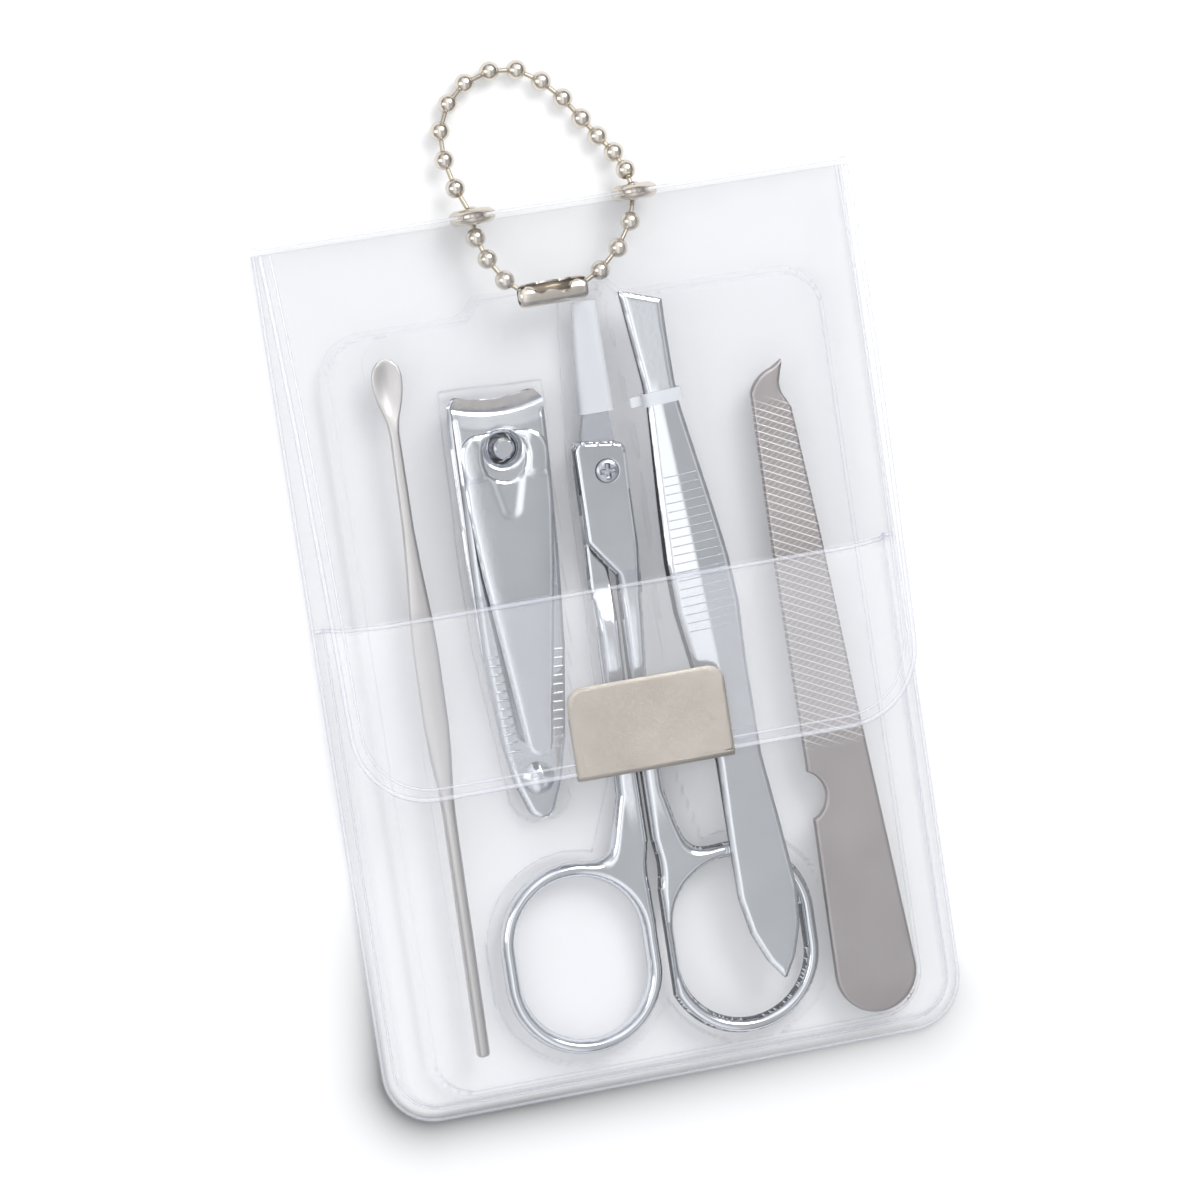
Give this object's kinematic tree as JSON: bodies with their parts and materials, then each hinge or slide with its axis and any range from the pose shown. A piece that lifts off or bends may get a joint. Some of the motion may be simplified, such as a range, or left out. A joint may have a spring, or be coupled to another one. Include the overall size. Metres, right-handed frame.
{
  "type": "manicure set case",
  "caption": "Clear vinyl pocket case with folding flap, metal clasp and bead chain loop, holding clipper, scissors, tweezers, nail file and ear pick in a moulded tray.",
  "frame": {"origin": "middle of the case's flat back face, lying on the table", "axes": "+X across the case to the right, +Y up its height towards the fold and the chain, +Z out of its front"},
  "size_m": [0.0734, 0.1262, 0.0097],
  "materials": {
    "vinyl": "clear glossy soft film",
    "tray_plastic": "clear thermoformed sheet",
    "clear_sleeve": "milky clear tube",
    "nickel": "nickel plate, warm and slightly brushed",
    "brass_core": "dull plated wire",
    "chrome": "bright polished plate",
    "blade_steel": "ground steel",
    "satin_steel": "satin steel, lightly brushed"
  },
  "bodies": {
    "case": {"back_sheet": "vinyl", "front_pocket": "vinyl"},
    "spine": {"fold_spine": "vinyl", "eyelets": "nickel", "eyelet_washers": "nickel"},
    "flap": {"flap": "vinyl", "clasp": "nickel"},
    "chain_loop": {"chain_loop_beads": "nickel", "chain_loop_pins": "brass_core"},
    "chain_inner": {"chain_inner_beads": "nickel", "chain_inner_pins": "brass_core", "chain_connector": "nickel"},
    "tray": {"tray": "tray_plastic", "clipper_lower_leaf": "chrome", "clipper_rivet": "chrome", "scissor_rear_handle": "chrome", "scissor_rear_blade": "blade_steel", "pivot_screw": "chrome", "tweezer_rear_arm": "chrome"},
    "ear_pick": {"ear_pick": "satin_steel"},
    "clipper_upper": {"clipper_upper_leaf": "chrome"},
    "clipper_lever": {"clipper_lever": "chrome", "clipper_post": "chrome"},
    "scissor_front": {"scissor_front_handle": "chrome", "scissor_front_blade": "blade_steel"},
    "tip_sleeve": {"tip_sleeve": "clear_sleeve"},
    "tweezer_front": {"tweezer_front_arm": "chrome"},
    "tweezer_band": {"tweezer_band": "clear_sleeve"},
    "nail_file": {"nail_file": "satin_steel"}
  },
  "joints": [
    {"name": "spine_fold", "type": "hinge", "parent": "case", "child": "spine", "pos_m": [0, 0.05325, 0], "axis": [-1, 0, 0], "range_deg": [0, 90]},
    {"name": "flap_fold", "type": "hinge", "parent": "spine", "child": "flap", "pos_m": [0, 0.05325, 0.0072], "axis": [-1, 0, 0], "range_deg": [0, 90]},
    {"name": "loop_swing", "type": "hinge", "parent": "spine", "child": "chain_loop", "pos_m": [0, 0.054, 0.0036], "axis": [1, 0, 0], "range_deg": [0, 45]},
    {"name": "inner_swing", "type": "hinge", "parent": "spine", "child": "chain_inner", "pos_m": [0, 0.054, 0.0036], "axis": [-1, 0, 0], "range_deg": [0, 3]},
    {"name": "tray_slide", "type": "slide", "parent": "case", "child": "tray", "axis": [0, 1, 0], "range_m": [0, 0.001]},
    {"name": "pick_slide", "type": "slide", "parent": "tray", "child": "ear_pick", "axis": [0.0131, 0.9999, 0], "range_m": [0, 0.0015]},
    {"name": "clipper_squeeze", "type": "hinge", "parent": "tray", "child": "clipper_upper", "pos_m": [-0.01235, -0.01435, 0.00199], "axis": [-0.9995, 0.0305, 0], "range_deg": [0, 1.5], "stiffness_Nm_per_rad": 0.5},
    {"name": "lever_turn", "type": "hinge", "parent": "tray", "child": "clipper_lever", "pos_m": [-0.01111, 0.02613, 0.0068], "axis": [0, 0, 1], "range_deg": [-12, 12]},
    {"name": "scissor_open", "type": "hinge", "parent": "tray", "child": "scissor_front", "pos_m": [0.0014, 0.02125, 0.0034], "axis": [0, 0, 1], "range_deg": [0, 0.9]},
    {"name": "sleeve_slide", "type": "slide", "parent": "tray", "child": "tip_sleeve", "axis": [0, 1, 0], "range_m": [0, 0.0008]},
    {"name": "tweezer_squeeze", "type": "hinge", "parent": "tray", "child": "tweezer_front", "pos_m": [0.01295, -0.03177, 0.00544], "axis": [-0.998, -0.0628, 0], "range_deg": [0, 0.25], "stiffness_Nm_per_rad": 0.3},
    {"name": "band_slide", "type": "slide", "parent": "tray", "child": "tweezer_band", "axis": [-0.0628, 0.998, 0], "range_m": [0, 0.003]},
    {"name": "file_slide", "type": "slide", "parent": "tray", "child": "nail_file", "axis": [0, 1, 0], "range_m": [0, 0.0015]}
  ],
  "couplings": [
    {"joint": "flap_fold", "follows": "spine_fold", "ratio": 1}
  ]
}
